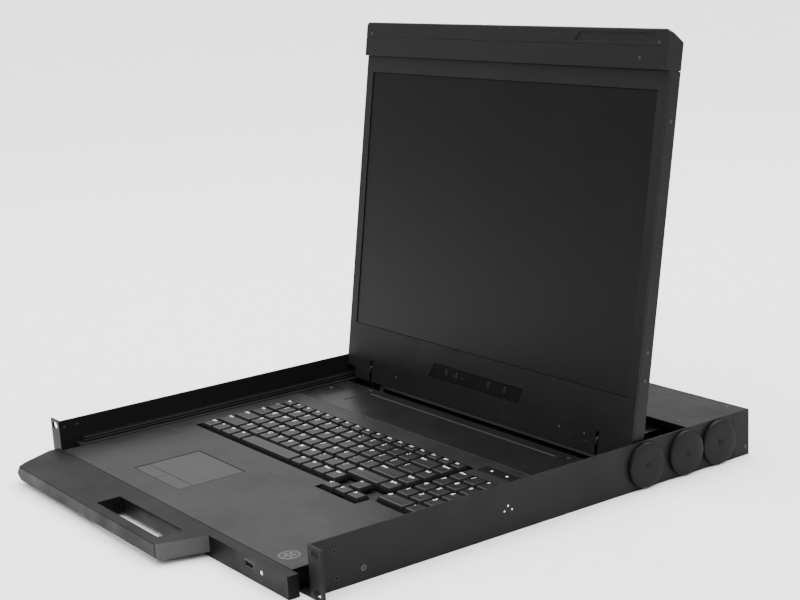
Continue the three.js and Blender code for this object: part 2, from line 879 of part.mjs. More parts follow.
function hingeArm(side) {
  const x0 = hingeBladeX + hingeBlade / 2 + 1.3;
  const pinInner = hingeBladeX - hingeBlade / 2 - 3;
  const rod = (a, b, radius) =>
    side > 0 ? rodX(a, b, hingeIn, hingeUp, radius) : rodX(-b, -a, hingeIn, hingeUp, radius);
  return join(
    rod(pinInner, x0 + 1, hingePinRadius),
    rod(x0, x0 + 18, hingeBarrelRadius),
    sideBlock(side, x0, lidNotchX - 3, hingeIn + 2.5, lidThickness - sheet - 0.6, 9.7, screenBottom - 2),
  );
}

const osdMiddle = (osdBottom + osdTop) / 2;

function addLid(group) {
  add(group, "lid_back_cover", lidBackCover(), blackPaint);
  add(group, "lid_bezel", lidBezel(), blackPaint);
  add(group, "lid_band", lidBand(), blackPaint);
  const half = screenHalf - gap;
  const pane = block(-half, half, 0.9, 2.3, screenBottom + gap, screenTop - gap);
  add(group, "screen_glass", pane, glass);
  const panel = block(-half + 4, half - 4, 2.7, 10.5, screenBottom + 2, screenTop - 2);
  add(group, "lcd_panel", panel, steel);
  add(group, "osd_panel", osdPanel(), blackPlastic);
  osdButtonX.forEach((x, i) => {
    const button = rodY(x, 0.1, 2.2 + osdButtonTravel, osdMiddle, osdButtonRadius);
    add(group, `osd_button_${i + 1}`, button, keyPlastic);
  });
  for (const [name, side] of sides) {
    add(group, `hinge_arm_${name}`, hingeArm(side), steel);
  }
}

// ---------------------------------------------------------------- assembly
const drawn = new THREE.Group();
addChassis(drawn);
addMidRails(drawn);
addDrawer(drawn);

const lidFrame = new THREE.Group();
lidFrame.position.set(0, -hingeIn, -hingeUp);
addLid(lidFrame);
const lidPivot = new THREE.Group();
lidPivot.position.set(0, hingeY, hingeZ);
lidPivot.rotation.x = -lidTilt;
lidPivot.add(lidFrame);
drawn.add(lidPivot);
drawn.position.y = -objectMiddleY;

const consoleDrawer = new THREE.Group();
consoleDrawer.add(drawn);

export default consoleDrawer;
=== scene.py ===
"""Looks for the rack console drawer: fine meshes, materials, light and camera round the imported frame."""
import json
import math

import bmesh
import bpy
from mathutils import Matrix, Vector


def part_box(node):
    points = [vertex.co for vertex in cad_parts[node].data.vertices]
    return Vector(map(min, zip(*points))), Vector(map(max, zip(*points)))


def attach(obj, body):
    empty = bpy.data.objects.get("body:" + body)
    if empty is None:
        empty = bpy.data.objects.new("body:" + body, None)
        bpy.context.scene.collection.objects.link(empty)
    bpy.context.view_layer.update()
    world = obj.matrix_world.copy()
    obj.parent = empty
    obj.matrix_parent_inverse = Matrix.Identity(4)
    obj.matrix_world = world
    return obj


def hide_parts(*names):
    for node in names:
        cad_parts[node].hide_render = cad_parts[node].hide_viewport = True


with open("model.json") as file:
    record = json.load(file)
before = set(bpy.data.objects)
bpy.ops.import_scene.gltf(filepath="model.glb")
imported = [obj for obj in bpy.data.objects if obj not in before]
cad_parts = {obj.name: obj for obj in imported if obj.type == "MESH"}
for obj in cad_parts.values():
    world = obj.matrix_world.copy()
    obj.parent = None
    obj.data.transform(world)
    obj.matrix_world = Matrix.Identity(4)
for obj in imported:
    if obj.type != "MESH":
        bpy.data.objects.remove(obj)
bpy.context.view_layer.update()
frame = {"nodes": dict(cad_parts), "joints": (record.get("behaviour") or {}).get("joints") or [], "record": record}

MM = 0.001

# ---------------------------------------------------------------- places taken from the frame
RECORD = frame["record"]
BODY_OF = {n: body for body, nodes in RECORD["behaviour"]["bodies"].items() for n in nodes}
EAR_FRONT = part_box("chassis_pan")[0].y
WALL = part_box("rear_panel")[1].x
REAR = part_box("rear_panel")[1].y
DECK_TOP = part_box("deck_plate")[1].z
CHASSIS_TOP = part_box("rear_panel")[1].z

HINGE = Vector(next(j["pos_m"] for j in frame["joints"] if j["name"] == "lid_hinge"))
LID_TILT = math.radians(9)
HINGE_BEHIND_FACE = 5.5 * MM
HINGE_ABOVE_EDGE = 13.1 * MM
LID = (
    Matrix.Translation(HINGE)
    @ Matrix.Rotation(-LID_TILT, 4, "X")
    @ Matrix.Translation((0, -HINGE_BEHIND_FACE, -HINGE_ABOVE_EDGE))
)
BAND_TOP = 376.2 * MM


def at(x, y, z):
    """A point given in millimetres from the ears' front face, the centre plane and the bottom."""
    return Vector((x * MM, EAR_FRONT + y * MM, z * MM))


# ---------------------------------------------------------------- camera
CAMERA_PLACE = at(1198.3, -592.9, 486.8)
CAMERA_AZIMUTH = 54.9
CAMERA_ELEVATION = 15.3
CAMERA_ROLL = -3.3
SENSOR = 36.0
FRAME_WIDTH = 800
FOCAL_IN_FRAMES = 1612.5 / FRAME_WIDTH
SHIFT = (0.003, 0.088)


def make_camera():
    azimuth = math.radians(CAMERA_AZIMUTH)
    elevation = math.radians(CAMERA_ELEVATION)
    roll = math.radians(CAMERA_ROLL)
    ahead = Vector((-math.sin(azimuth), math.cos(azimuth), 0)) * math.cos(elevation)
    ahead.z = -math.sin(elevation)
    level = Vector((math.cos(azimuth), math.sin(azimuth), 0))
    upward = level.cross(ahead)
    right = level * math.cos(roll) + upward * math.sin(roll)
    up = upward * math.cos(roll) - level * math.sin(roll)
    data = bpy.data.cameras.new("camera")
    data.sensor_width = SENSOR
    data.lens = SENSOR * FOCAL_IN_FRAMES
    data.shift_x, data.shift_y = SHIFT
    data.clip_start = 0.05
    camera = bpy.data.objects.new("camera", data)
    turn = Matrix((right, up, -ahead)).transposed().to_4x4()
    camera.matrix_world = Matrix.Translation(CAMERA_PLACE) @ turn
    bpy.context.scene.collection.objects.link(camera)
    bpy.context.scene.camera = camera


make_camera()


# ---------------------------------------------------------------- materials
class Nodes:
    """A short way to write a material's node tree."""

    def __init__(self, name):
        self.material = bpy.data.materials.new(name)
        self.material.use_nodes = True
        self.tree = self.material.node_tree
        self.shader = self.tree.nodes["Principled BSDF"]
        self.coordinates = self.add("ShaderNodeTexCoord").outputs["Object"]

    def add(self, kind, **settings):
        node = self.tree.nodes.new(kind)
        for key, value in settings.items():
            setattr(node, key, value)
        return node

    def link(self, output, socket):
        self.tree.links.new(output, socket)

    def noise(self, scale, detail=2.0, stretch=None):
        node = self.add("ShaderNodeTexNoise")
        node.inputs["Scale"].default_value = scale
        node.inputs["Detail"].default_value = detail
        vector = self.coordinates
        if stretch:
            mapping = self.add("ShaderNodeMapping")
            mapping.inputs["Scale"].default_value = stretch
            self.link(vector, mapping.inputs["Vector"])
            vector = mapping.outputs["Vector"]
        self.link(vector, node.inputs["Vector"])
        return node.outputs["Fac"]

    def spread(self, value, low, high, start=0.3, end=0.7):
        node = self.add("ShaderNodeMapRange")
        node.inputs["From Min"].default_value = start
        node.inputs["From Max"].default_value = end
        node.inputs["To Min"].default_value = low
        node.inputs["To Max"].default_value = high
        self.link(value, node.inputs["Value"])
        return node.outputs["Result"]

    def mix(self, factor, a, b):
        node = self.add("ShaderNodeMix", data_type="RGBA")
        self.link(factor, node.inputs["Factor"])
        for socket, value in (("A", a), ("B", b)):
            target = [s for s in node.inputs if s.name == socket and s.type == "RGBA"][0]
            if isinstance(value, tuple):
                target.default_value = (*value, 1)
            else:
                self.link(value, target)
        return [s for s in node.outputs if s.type == "RGBA"][0]

    def bump(self, height, strength, distance):
        node = self.add("ShaderNodeBump")
        node.inputs["Strength"].default_value = strength
        node.inputs["Distance"].default_value = distance
        self.link(height, node.inputs["Height"])
        return node.outputs["Normal"]


def grey(level):
    return (level, level, level)


def scaled(colour, factor):
    return tuple(min(c * factor, 1.0) for c in colour)


CLOUD_SCALE = 9
SPECK_SCALE = 420
GLOSS_SCALE = 26
GRAIN_DEPTH = 0.2 * MM
GRAIN_LIGHTENS = 1.6


def surface(
    name, colour, roughness, grain, relief, mottle, dust=0.0, metal=0.0, uneven=0.065,
    specular=0.5, stretch=None,
):
    """Paint or plastic: cloudy colour, fine grain in the relief, uneven gloss and a little dust."""
    m = Nodes(name)
    clouds = m.noise(CLOUD_SCALE, 3)
    fine = m.noise(grain, 2, stretch)
    tint = m.mix(
        m.spread(clouds, 0, 1), scaled(colour, 1 - mottle), scaled(colour, 1 + mottle)
    )
    tint = m.mix(m.spread(fine, 0, 0.35, 0.35, 0.75), tint, scaled(colour, GRAIN_LIGHTENS))
    if dust:
        specks = m.spread(m.noise(SPECK_SCALE, 1), 0, dust, 0.71, 0.76)
        tint = m.mix(specks, tint, grey(0.5))
    m.link(tint, m.shader.inputs["Base Color"])
    gloss = m.spread(m.noise(GLOSS_SCALE, 4), roughness - uneven, roughness + uneven)
    m.link(gloss, m.shader.inputs["Roughness"])
    m.link(m.bump(fine, relief, GRAIN_DEPTH), m.shader.inputs["Normal"])
    m.shader.inputs["Metallic"].default_value = metal
    m.shader.inputs["Specular IOR Level"].default_value = specular
    return m.material


def emissive(name, colour, strength):
    m = Nodes(name)
    m.link(m.mix(m.spread(m.noise(900), 0, 1), colour, scaled(colour, 0.8)),
           m.shader.inputs["Base Color"])
    m.shader.inputs["Emission Color"].default_value = (*colour, 1)
    m.shader.inputs["Emission Strength"].default_value = strength
    m.shader.inputs["Roughness"].default_value = 0.3
    return m.material


SURFACES = {
    "black_paint": dict(
        colour=grey(0.006), roughness=0.5, grain=1300, relief=0.4, mottle=0.2,
        dust=0.03, specular=0.12,
    ),
    "deck_paint": dict(
        colour=grey(0.009), roughness=0.38, grain=1500, relief=0.4, mottle=0.25,
        dust=0.04, uneven=0.1, specular=0.14,
    ),
    # Darker than the black paint: painted shade for the drawer pan and the hinge trough; the OSD panel shares it.
    "dark_inside_and_painted_shade": dict(
        colour=grey(0.003), roughness=0.6, grain=1200, relief=0.3, mottle=0.15,
        specular=0.08,
    ),
    "hinge_paint": dict(
        colour=grey(0.004), roughness=0.3, grain=1500, relief=0.03, mottle=0.1,
        dust=0.01, uneven=0.05, specular=0.26,
    ),
    # Brightened far beyond real zinc: painted light on the rear bulkhead, which sits in shade under the cover; the
    # side rivets share it.
    "zinc_plate_painted_light": dict(colour=grey(0.85), roughness=0.5, grain=700, relief=0.2, mottle=0.1, uneven=0.1),
    # The lighter handle facet: partly wear, partly painted light.
    "handle_wear_and_painted_light": dict(
        colour=grey(0.035), roughness=0.46, grain=900, relief=0.4, mottle=0.4,
        dust=0.1, uneven=0.1, specular=0.2,
    ),
    # The key plastic made darker: painted shade on the steep sides of the caps.
    "key_side_painted_shade": dict(
        colour=grey(0.003), roughness=0.6, grain=1900, relief=0.2, mottle=0.1,
        specular=0.1,
    ),
    "socket_steel": dict(
        colour=grey(0.05), roughness=0.35, grain=1500, relief=0.1, mottle=0.1,
        metal=0.6,
    ),
    "label_mark": dict(colour=grey(0.055), roughness=0.5, grain=1500, relief=0.1, mottle=0.2),
    "cover_paint": dict(
        colour=grey(0.006), roughness=0.5, grain=1200, relief=0.35, mottle=0.2,
        dust=0.03, uneven=0.09, specular=0.11,
    ),
    "handle_black": dict(
        colour=grey(0.003), roughness=0.42, grain=1300, relief=0.4, mottle=0.25,
        dust=0.03, uneven=0.1, specular=0.085,
    ),
    "bare_steel": dict(
        colour=grey(0.35), roughness=0.36, grain=900, relief=0.12, mottle=0.08,
        metal=1.0, stretch=(0.04, 1, 1),
    ),
    "black_steel": dict(
        colour=grey(0.006), roughness=0.34, grain=700, relief=0.12, mottle=0.2,
        specular=0.2, stretch=(1, 0.04, 1),
    ),
    "black_plastic": dict(
        colour=grey(0.004), roughness=0.55, grain=1600, relief=0.3, mottle=0.1,
        specular=0.2,
    ),
    "key_plastic": dict(
        colour=grey(0.006), roughness=0.34, grain=1900, relief=0.3, mottle=0.2,
        dust=0.02, specular=0.24,
    ),
    "pad_plastic": dict(
        colour=grey(0.018), roughness=0.38, grain=2200, relief=0.12, mottle=0.1,
        specular=0.165,
    ),
    "screen_surface": dict(
        colour=grey(0.0035), roughness=0.34, grain=2600, relief=0.08, mottle=0.06,
        uneven=0.015, specular=0.11,
    ),
    "panel_body": dict(
        colour=grey(0.3), roughness=0.4, grain=800, relief=0.15, mottle=0.08,
        metal=0.9, stretch=(1, 0.05, 1),
    ),
    "circuit_board": dict(colour=(0.006, 0.05, 0.015), roughness=0.4, grain=600, relief=0.3, mottle=0.2),
    "indicator_lens": dict(colour=(0.5, 0.56, 0.46), roughness=0.25, grain=900, relief=0.1, mottle=0.05),
    "legend_ink": dict(colour=grey(0.5), roughness=0.6, grain=1800, relief=0.1, mottle=0.06),
    "screw_steel": dict(
        colour=grey(0.04), roughness=0.34, grain=1500, relief=0.2, mottle=0.2,
        metal=0.7,
    ),
    # Near black: painted shade in screw recesses, holes, slots and gaps, and the console block's body.
    "black_and_painted_shade": dict(
        colour=grey(0.002), roughness=0.7, grain=1500, relief=0.2, mottle=0.2,
        specular=0.1,
    ),
    "port_blue": dict(colour=(0.006, 0.02, 0.1), roughness=0.45, grain=1800, relief=0.2, mottle=0.1),
    "disc_paint": dict(
        colour=grey(0.004), roughness=0.46, grain=1300, relief=0.35, mottle=0.2,
        dust=0.03, specular=0.1,
    ),
    "label_film": dict(
        colour=grey(0.011), roughness=0.3, grain=2200, relief=0.12, mottle=0.15,
        specular=0.2,
    ),
}
MATERIALS = {name: surface(name, **look) for name, look in SURFACES.items()}
MATERIALS["led_white"] = emissive("led_white", (0.6, 0.64, 0.6), 0.25)


# ---------------------------------------------------------------- mesh helpers
def new_piece(name, bm, materials, body, replaces=(), smooth=True):
    """Turns a bmesh into a piece that rides on a body, and closes the bmesh."""
    bmesh.ops.recalc_face_normals(bm, faces=bm.faces)
    mesh = bpy.data.meshes.new(name)
    bm.to_mesh(mesh)
    bm.free()
    for key in materials:
        mesh.materials.append(MATERIALS[key])
    piece = bpy.data.objects.new(name, mesh)
    bpy.context.scene.collection.objects.link(piece)
    if smooth:
        mesh.shade_smooth()
    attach(piece, body)
    if replaces:
        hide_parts(*replaces)
    return piece


def bevel(piece, width, segments=2, angle=30, weighted=False):
    modifier = piece.modifiers.new("edge", "BEVEL")
    modifier.width = width
    modifier.segments = segments
    modifier.limit_method = "WEIGHT" if weighted else "ANGLE"
    modifier.angle_limit = math.radians(angle)
    modifier.use_clamp_overlap = True
    return modifier


def even_normals(piece):
    modifier = piece.modifiers.new("normals", "WEIGHTED_NORMAL")
    modifier.weight = 80
    modifier.keep_sharp = True


def whole_faces(mesh):
    """A bmesh of a mesh, with doubled points merged and flat faces joined."""
    bm = bmesh.new()
    bm.from_mesh(mesh)
    bmesh.ops.remove_doubles(bm, verts=bm.verts, dist=4e-6)
    bmesh.ops.dissolve_limit(bm, angle_limit=math.radians(1), verts=bm.verts, edges=bm.edges)
    return bm


def cleaned_copy(node):
    """The CAD node's mesh with its flat faces whole again."""
    return whole_faces(frame["nodes"][node].data)


def cut_piece(piece, cutter_bm, name):
    """Cuts a shape out of a piece, as real geometry."""
    mesh = bpy.data.meshes.new(name)
    bmesh.ops.recalc_face_normals(cutter_bm, faces=cutter_bm.faces)
    cutter_bm.to_mesh(mesh)
    cutter_bm.free()
    cutter = bpy.data.objects.new(name, mesh)
    bpy.context.scene.collection.objects.link(cutter)
    modifier = piece.modifiers.new("cut", "BOOLEAN")
    modifier.operation = "DIFFERENCE"
    modifier.solver = "EXACT"
    modifier.object = cutter
    bpy.context.view_layer.update()
    graph = bpy.context.evaluated_depsgraph_get()
    result = bpy.data.meshes.new_from_object(piece.evaluated_get(graph))
    piece.modifiers.clear()
    bm = whole_faces(result)
    bm.to_mesh(result)
    bm.free()
    piece.data = result
    bpy.data.objects.remove(cutter)


def refine(node, material, width=0.3 * MM, segments=2, cutter=None):
    """A CAD node as a fine piece: whole faces, rounded edges and smooth normals."""
    piece = new_piece(
        node + "_fine", cleaned_copy(node), [material], BODY_OF[node], [node]
    )
    if cutter:
        cut_piece(piece, cutter, "cutter_" + node)
        piece.data.shade_smooth()
    bevel(piece, width, segments)
    even_normals(piece)
    return piece


def add_box(bm, low, high, matrix=None, material=0):
    low, high = Vector(low), Vector(high)
    size = high - low
    place = Matrix.Translation((low + high) / 2) @ Matrix.Diagonal((*size, 1))
    made = bmesh.ops.create_cube(bm, size=1, matrix=(matrix or Matrix()) @ place)
    paint(made["verts"], material)


def paint(verts, material):
    chosen = set(verts)
    for face in {f for v in verts for f in v.link_faces}:
        if all(v in chosen for v in face.verts):
            face.material_index = material


def loft(bm, rings, material=0):
    """Skins and caps rings of points, which all have the same number of points."""
    made = [[bm.verts.new(p) for p in ring] for ring in rings]
    count = len(rings[0])
    faces = []
    for a, b in zip(made, made[1:]):
        for i in range(count):
            j = (i + 1) % count
            faces.append(bm.faces.new((a[i], a[j], b[j], b[i])))
    faces.append(bm.faces.new(made[0][::-1]))
    faces.append(bm.faces.new(made[-1]))
    for face in faces:
        face.material_index = material


def lathe(bm, profile, matrix, segments=48, material=0):
    """Turns a profile of (radius, height) round the matrix's Z axis."""
    rings = []
    for radius, height in profile:
        ring = []
        for i in range(segments):
            angle = 2 * math.pi * i / segments
            ring.append(matrix @ Vector((radius * math.cos(angle), radius * math.sin(angle), height)))
        rings.append(ring)
    loft(bm, rings, material)


def facing(place, normal):
    """A matrix at a place whose Z axis points along a normal."""
    return Matrix.Translation(place) @ Vector(normal).to_track_quat("Z", "Y").to_matrix().to_4x4()


def rounded_ring(x0, x1, y0, y1, z, radius, corner=4):
    """The points of a rounded rectangle, anticlockwise."""
    points = []
    centres = ((x1, y1, 0), (x0, y1, 90), (x0, y0, 180), (x1, y0, 270))
    for cx, cy, start in centres:
        ox = cx - radius if cx == x1 else cx + radius
        oy = cy - radius if cy == y1 else cy + radius
        for i in range(corner + 1):
            angle = math.radians(start + 90 * i / corner)
            points.append(
                Vector((ox + radius * math.cos(angle), oy + radius * math.sin(angle), z))
            )
    return points


# ---------------------------------------------------------------- screws
def add_screw(bm, matrix, radius=2.2 * MM, height=0.5 * MM):
    """A pan-head screw with a cross recess; material 0 is the head and 1 the recess, drawn as bars painted dark as
    its shade.
    """
    profile = [
        (radius, 0),
        (radius, height * 0.45),
        (radius * 0.9, height * 0.8),
        (radius * 0.7, height),
    ]
    lathe(bm, profile, matrix, 28, 0)
    arm, half = radius * 0.55, radius * 0.13
    top = height + 0.015 * MM
    add_box(bm, (-arm, -half, height * 0.6), (arm, half, top), matrix, 1)
    add_box(bm, (-half, -arm, height * 0.6), (half, arm, top), matrix, 1)


def add_hole(bm, matrix, radius, rim=0.25 * MM):
    """A small punched hole: a disc painted dark as the hole's shade, inside a thin raised rim."""
    lathe(bm, [(radius + rim, 0), (radius + rim * 0.6, 0.06 * MM), (radius, 0.03 * MM)], matrix, 24, 0)
    lathe(bm, [(radius, 0.02 * MM), (radius * 0.97, 0.05 * MM)], matrix, 24, 1)


def screw_set(name, body, screws, holes=()):
    bm = bmesh.new()
    for place, normal, radius in screws:
        add_screw(bm, facing(place, normal), radius * MM)
    for place, normal, radius in holes:
        add_hole(bm, facing(place, normal), radius * MM)
    return new_piece(name, bm, ["screw_steel", "black_and_painted_shade"], body, smooth=False)


def make_screws():
    """Screws, small holes and rivets: places and radii are in millimetres."""
    up = (0, 0, 1)
    deck = DECK_TOP / MM
    deck_screws = [(49.6, 0.3), (-2.1, 103.6), (201.5, 1.0), (-201.5, 1.0)]
    places = [(at(x, y, deck), up, 1.2) for x, y in deck_screws]
    places += [(at(x, y, deck), up, 2.0) for x, y in ((-155, 323), (158, 321), (-196, 300), (196, 300))]
    screw_set("deck_screws", "drawer", places)

    screws, holes, specks = [], [], []
    for side in (-1, 1):
        out = (side, 0, 0)
        wall = side * WALL / MM
        screws.append((at(wall, 48.8, 11.1), out, 2.6))
        screws.append((at(wall, 478.5, 8.7), out, 1.5))
        holes += [(at(wall, 22.9, 32), out, 1.5), (at(wall, 23.9, 9.2), out, 1.5)]
        specks += [(at(wall, 191 + 4 * i, 20 + 4 * (i % 2)), out, 0.8) for i in range(3)]
        inner = wall - side * 1.2
        screws += [(at(inner, y, 36.5), (-side, 0, 0), 1.5) for y in (6, 19.5)]
    screws += [(at(x, 412, CHASSIS_TOP / MM), up, 1.8) for x in (-205, -70, 70, 205)]
    screws += [(at(x, 474, CHASSIS_TOP / MM), up, 1.8) for x in (-205, 0, 205)]
    rear = REAR / MM - EAR_FRONT / MM
    screws += [(at(x, rear - 0.65, z), (0, 1, 0), 2.0) for x in (-217, 217) for z in (8, 36)]
    screw_set("chassis_screws", "chassis", screws, holes)
    bm = bmesh.new()
    for place, normal, radius in specks:
        head = [(radius * MM, 0), (radius * MM, 0.1 * MM), (radius * 0.5 * MM, 0.3 * MM)]
        lathe(bm, head, facing(place, normal), 20)
    new_piece("side_rivets", bm, ["zinc_plate_painted_light"], "chassis", smooth=False)

    front = LID.to_3x3() @ Vector((0, -1, 0))
    back = -front
    lid_screws = [(x, 0, z, front, 1.5) for x, z in ((-130, 13.1), (125, 15.7), (159, 16.5))]
    lid_screws += [(x, -4, z, front, 1.4) for x, z in ((209.7, 364.5), (187.8, 351), (-209.7, 364.5))]
    lid_screws += [(x, 14.4, z, back, 1.8) for x in (-205, -70, 70, 205) for z in (24, 330)]
    placed = [(LID @ (Vector((x, y, z)) * MM), n, r) for x, y, z, n, r in lid_screws]
    for side in (-1, 1):
        out = Vector((side, 0, 0))
        for z in (76.2, 101.3, 300):
            placed.append((LID @ (Vector((side * 220, 8, z)) * MM), out, 1.5))
    screw_set("lid_screws", "lid", placed)


# ---------------------------------------------------------------- keyboard
CELL_EDGE = 0.5 * MM
CAP_EDGE = 0.9 * MM
PITCH = 19.05 * MM
CAP_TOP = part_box("number_keys")[1].z
CAP_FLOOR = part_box("number_keys")[0].z
WEB = 0.8 * MM
TAB_WIDTH = 24 * MM
CAPS_WIDTH = 30 * MM
SHIFT_WIDTH = 39 * MM


def add_cap(bm, x0, x1, y0, y1):
    """One key cap: straight skirt, sloping sides, a soft edge and a shallow dish."""
    # inset and corner radius in millimetres, then the height
    steps = (
        (0.0, 0.6, CAP_FLOOR + WEB * 0.5),
        (0.1, 0.7, CAP_TOP - 3.0 * MM),
        (1.45, 1.1, CAP_TOP - 0.5 * MM),
        (1.7, 1.2, CAP_TOP - 0.12 * MM),
        (2.1, 1.2, CAP_TOP),
        (4.2, 1.2, CAP_TOP - 0.16 * MM),
        (6.0, 0.5, CAP_TOP - 0.22 * MM),
    )
    rings = []
    for inset, radius, z in steps:
        e = min(CAP_EDGE + inset * MM, (y1 - y0) / 2 - 0.8 * MM)
        radius = min(radius * MM, (y1 - y0) / 2 - e - 0.1 * MM)
        rings.append(rounded_ring(x0 + e, x1 - e, y0 + e, y1 - e, z, radius, 3))
    loft(bm, rings)


def paint_shade_on_key_sides(bm):
    """Gives the steep faces of the caps the second material, a darker colour that paints shade on the key sides.
    """
    for face in bm.faces:
        if face.calc_center_median().z < CAP_TOP - 0.6 * MM:
            face.material_index = 1


def add_web(bm, cells):
    x0, x1 = min(c[0] for c in cells), max(c[1] for c in cells)
    y0, y1 = min(c[2] for c in cells), max(c[3] for c in cells)
    add_box(
        bm,
        (x0 + CELL_EDGE, y0 + CELL_EDGE, CAP_FLOOR),
        (x1 - CELL_EDGE, y1 - CELL_EDGE, CAP_FLOOR + WEB),
    )


def row_of(left, y0, y1, widths):
    cells, x = [], left
    for width in widths:
        cells.append((x, x + width, y0, y1))
        x += width
    return cells


def node_row(node, widths):
    """The cells of a one-row bank: given widths, and what is left for the one written None."""
    low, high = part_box(node)
    left, right = low.x - CELL_EDGE, high.x + CELL_EDGE
    known = sum(w for w in widths if w)
    widths = [w or right - left - known for w in widths]
    return row_of(left, low.y - CELL_EDGE, high.y + CELL_EDGE, widths)


def numpad_cells():
    low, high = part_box("numpad_keys")
    left, front = low.x - CELL_EDGE, low.y - CELL_EDGE
    column = [left + i * PITCH for i in range(5)]
    row = [front + i * PITCH for i in range(6)]
    cells = [(column[0], column[2], row[0], row[1]), (column[2], column[3], row[0], row[1])]
    for r in (1, 2, 3, 4):
        cells += row_of(left, row[r], row[r + 1], [PITCH] * 3)
    for r0, r1 in ((0, 2), (2, 4), (4, 5)):
        cells.append((column[3], column[4], row[r0], row[r1]))
    return cells


def arrow_cells():
    low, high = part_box("arrow_keys")
    left = low.x - CELL_EDGE
    step = high.y + CELL_EDGE - PITCH
    lower = row_of(left, low.y - CELL_EDGE, step, [PITCH] * 3)
    return [(left + PITCH, left + 2 * PITCH, step, step + PITCH), *lower]


def navigation_cells():
    low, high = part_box("navigation_keys")
    left, front = low.x - CELL_EDGE, low.y - CELL_EDGE
    return [(left, left + PITCH, front + i * PITCH, front + (i + 1) * PITCH) for i in range(4)]


def add_legend(bm, text, cell):
    """A printed legend at the rear left of a key's top, as flat raised letters."""
    size = (6.4 if len(text) == 1 else 3.9) * MM
    curve = bpy.data.curves.new("legend", "FONT")
    curve.body = text
    curve.size = size
    curve.space_line = 0.85
    curve.offset = 0.1 * MM
    curve.extrude = 0.02 * MM
    curve.resolution_u = 2
    word = bpy.data.objects.new("legend", curve)
    bpy.context.scene.collection.objects.link(word)
    bpy.context.view_layer.update()
    graph = bpy.context.evaluated_depsgraph_get()
    mesh = bpy.data.meshes.new_from_object(word.evaluated_get(graph))
    x = cell[0] + CAP_EDGE + 2.4 * MM
    y = cell[3] - CAP_EDGE - 2.4 * MM - size * 0.72
    mesh.transform(Matrix.Translation((x, y, CAP_TOP - 0.005 * MM)))
    bm.from_mesh(mesh)
    bpy.data.objects.remove(word)
    bpy.data.curves.remove(curve)
    bpy.data.meshes.remove(mesh)


def make_bank(node, cells, labels):
    bm = bmesh.new()
    for cell in cells:
        add_cap(bm, *cell)
    if node == "arrow_keys":
        add_web(bm, cells[1:])
        add_web(bm, [cells[0], cells[2]])
    else:
        add_web(bm, cells)
    paint_shade_on_key_sides(bm)
    new_piece(node + "_caps", bm, ["key_plastic", "key_side_painted_shade"], BODY_OF[node], [node])
    ink = bmesh.new()
    for cell, label in zip(cells, labels):
        if label:
            add_legend(ink, label, cell)
    if ink.verts:
        new_piece(node + "_legends", ink, ["legend_ink"], BODY_OF[node], smooth=False)
    else:
        ink.free()


def make_keyboard():
    unit = PITCH
    f_keys = ["Esc", *(f"F{i}" for i in range(1, 13)), "Prt", "Scr", "Brk", "Ins"]
    low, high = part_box("function_keys")
    pitch = (high.x - low.x + 2 * CELL_EDGE) / len(f_keys)
    make_bank("function_keys", node_row("function_keys", [pitch] * len(f_keys)), f_keys)
    digits = [f"{a}\n{b}" for a, b in zip("~!@#$%^&*()_+", "`1234567890-=")]
    rows = {
        "number_keys": ([unit] * 13 + [None], [*digits, "Back"]),
        "top_letter_keys": (
            [TAB_WIDTH] + [unit] * 12 + [None], ["Tab", *"QWERTYUIOP", "{\n[", "}\n]", "|\n\\"],
        ),
        "home_letter_keys": ([CAPS_WIDTH] + [unit] * 11, ["Caps", *"ASDFGHJKL", ":\n;", "\"\n'"]),
        "enter_key": ([None], ["Enter"]),
        "bottom_letter_keys": (
            [SHIFT_WIDTH] + [unit] * 10 + [None], ["Shift", *"ZXCVBNM", "<\n,", ">\n.", "?\n/", "Shift"],
        ),
        "left_modifier_keys": ([unit] * 4, ["Ctrl", "Fn", "Sys", "Alt"]),
        "space_bar": ([None], [""]),
        "right_modifier_keys": ([unit] * 4, ["Alt", "Sys", "Menu", "Ctrl"]),
    }
    for node, (widths, labels) in rows.items():
        make_bank(node, node_row(node, widths), labels)
    make_bank("navigation_keys", navigation_cells(), ["PgDn", "PgUp", "End", "Home"])
    make_bank("arrow_keys", arrow_cells(), ["^", "<", "v", ">"])
    pad = ["0", ".", *"123456789", "Num", "/", "*", "Ent", "+", "-"]
    make_bank("numpad_keys", numpad_cells(), pad)


# ---------------------------------------------------------------- drawer
HANDLE_FACE = EAR_FRONT - 15.6 * MM
HANDLE_WAIST = at(0, 0, 12.5).z
GRIP_LEFT = at(-50, 0, 0).x
GRIP_RIGHT = at(72, 0, 0).x
GRIP_FRONT = at(0, -48, 0).y
SHARP_ABOVE = at(0, 0, 18).z


def handle_edge_weight(edge):
    """How round an edge of the handle is: its underside and corners most, its grip hole least."""
    if edge.calc_face_angle(0) < math.radians(20) or any(v.co.y > HANDLE_FACE for v in edge.verts):
        return 0.0
    middle = (edge.verts[0].co + edge.verts[1].co) / 2
    in_grip = GRIP_LEFT < middle.x < GRIP_RIGHT and middle.y > GRIP_FRONT
    if in_grip or middle.z > SHARP_ABOVE:
        return 0.3
    return 1.0


